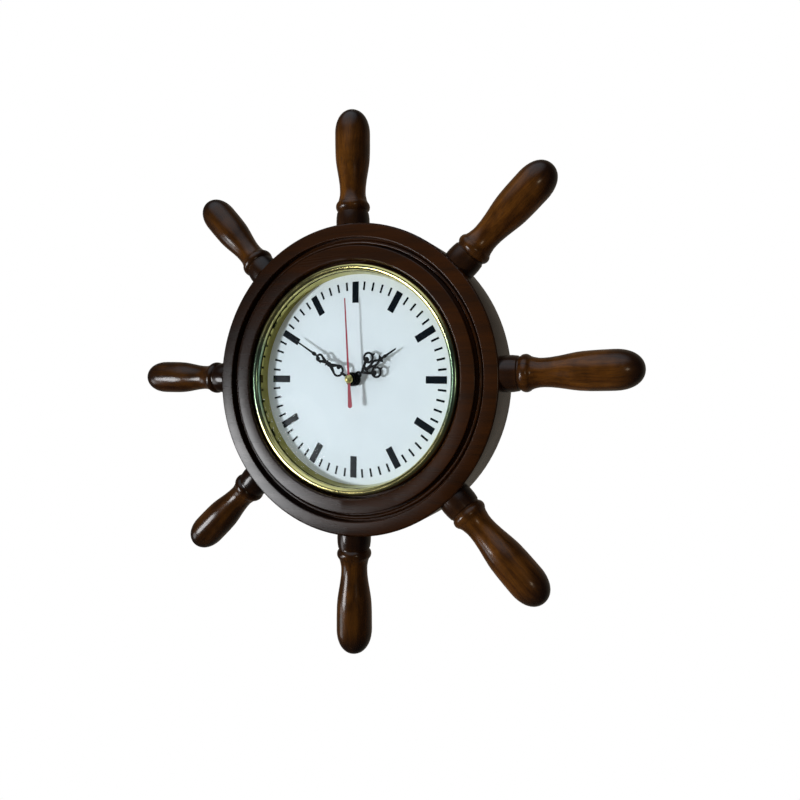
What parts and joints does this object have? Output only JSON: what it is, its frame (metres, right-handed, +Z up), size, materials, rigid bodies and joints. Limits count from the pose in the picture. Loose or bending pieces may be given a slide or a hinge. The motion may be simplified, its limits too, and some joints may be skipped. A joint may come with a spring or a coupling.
{
  "type": "wheel-shaped wall clock",
  "caption": "Wooden ship's-wheel wall clock: grooved rim with turned handles, brass bezel and domed glass over a bar dial, battery movement behind and a keyhole hanger.",
  "frame": {"origin": "centre of the wheel on the plane of its back, where it meets the wall", "axes": "+X to the right seen from the front, +Y from the dial back into the wall, +Z up to twelve o'clock"},
  "size_m": [0.3809, 0.0348, 0.381],
  "materials": {
    "rim_wood": "satin varnish",
    "handle_wood": "gloss varnish",
    "dial_enamel": "satin white",
    "dial_print": "matt black print",
    "spacer_metal": "polished",
    "clock_glass": "clear",
    "bezel_brass": "polished",
    "hand_black": "satin black",
    "hand_red": "satin red",
    "fitting_brass": "polished",
    "fitting_black": "blackened brass",
    "gear_plastic": "natural moulded",
    "second_wheel_metal": "turned",
    "magnet": "sintered",
    "case_plastic": "fine grain black",
    "bridge_plastic": "natural moulded",
    "washer_rubber": "matt",
    "motor_iron": "annealed sheet",
    "copper": "enamelled wire",
    "board": "resin board",
    "crystal_can": "tinned",
    "cell": "plain metal jacket",
    "contact_steel": "plated spring strip",
    "hanger_steel": "zinc plated"
  },
  "bodies": {
    "case": {"wheel_rim": "rim_wood", "handles": "handle_wood", "dial": "dial_enamel", "hour_marks": "dial_print", "minute_marks": "dial_print", "spacer_ring": "spacer_metal", "glass": "clock_glass", "bezel": "bezel_brass", "threaded_bush": "fitting_brass", "dial_washer": "fitting_black", "fixing_nut": "fitting_black", "movement_case": "case_plastic", "movement_cover": "case_plastic", "train_bridge": "bridge_plastic", "coil_bobbin": "bridge_plastic", "rubber_washer": "washer_rubber", "stator": "motor_iron", "coil_core": "motor_iron", "coil_winding": "copper", "circuit_board": "board", "quartz_crystal": "crystal_can", "positive_contact": "contact_steel", "negative_contact": "contact_steel", "hanger_plate": "hanger_steel", "hanger_screws": "hanger_steel"},
    "second": {"second_hand": "hand_red", "second_hand_cap": "fitting_brass", "second_wheel": "second_wheel_metal"},
    "minute": {"minute_hand": "hand_black", "minute_wheel": "gear_plastic"},
    "hour": {"hour_hand": "hand_black", "hour_wheel": "gear_plastic"},
    "third": {"third_wheel": "gear_plastic"},
    "fifth": {"fifth_wheel": "gear_plastic"},
    "motion": {"motion_wheel": "gear_plastic"},
    "rotor": {"rotor": "magnet"},
    "setting": {"setting_knob": "case_plastic"},
    "battery": {"battery": "cell"}
  },
  "joints": [
    {"name": "second_hand_turn", "type": "hinge", "parent": "case", "child": "second", "pos_m": [0, 0, 0], "axis": [0, 1, 0], "continuous": true},
    {"name": "minute_hand_turn", "type": "hinge", "parent": "case", "child": "minute", "pos_m": [0, 0, 0], "axis": [0, 1, 0], "continuous": true},
    {"name": "hour_hand_turn", "type": "hinge", "parent": "case", "child": "hour", "pos_m": [0, 0, 0], "axis": [0, 1, 0], "continuous": true},
    {"name": "third_wheel_turn", "type": "hinge", "parent": "case", "child": "third", "pos_m": [0.00781, 0, 0.00656], "axis": [0, 1, 0], "continuous": true},
    {"name": "fifth_wheel_turn", "type": "hinge", "parent": "case", "child": "fifth", "pos_m": [-0.00936, 0, 0.0054], "axis": [0, 1, 0], "continuous": true},
    {"name": "motion_wheel_turn", "type": "hinge", "parent": "case", "child": "motion", "pos_m": [0.0042, 0, -0.00727], "axis": [0, 1, 0], "continuous": true},
    {"name": "rotor_turn", "type": "hinge", "parent": "case", "child": "rotor", "pos_m": [-0.0157, 0, 0.00245], "axis": [0, 1, 0], "continuous": true},
    {"name": "setting_knob_turn", "type": "hinge", "parent": "case", "child": "setting", "pos_m": [0.01242, 0, -0.00902], "axis": [0, 1, 0], "continuous": true},
    {"name": "battery_slide", "type": "slide", "parent": "case", "child": "battery", "axis": [0, 1, 0], "range_m": [0, 0.02]}
  ],
  "couplings": [
    {"joint": "minute_hand_turn", "follows": "second_hand_turn", "ratio": 0.016667},
    {"joint": "hour_hand_turn", "follows": "second_hand_turn", "ratio": 0.0013889},
    {"joint": "third_wheel_turn", "follows": "second_hand_turn", "ratio": -0.13333},
    {"joint": "fifth_wheel_turn", "follows": "second_hand_turn", "ratio": -6},
    {"joint": "motion_wheel_turn", "follows": "second_hand_turn", "ratio": -0.0055556},
    {"joint": "rotor_turn", "follows": "second_hand_turn", "ratio": 30},
    {"joint": "setting_knob_turn", "follows": "second_hand_turn", "ratio": 0.016667}
  ]
}
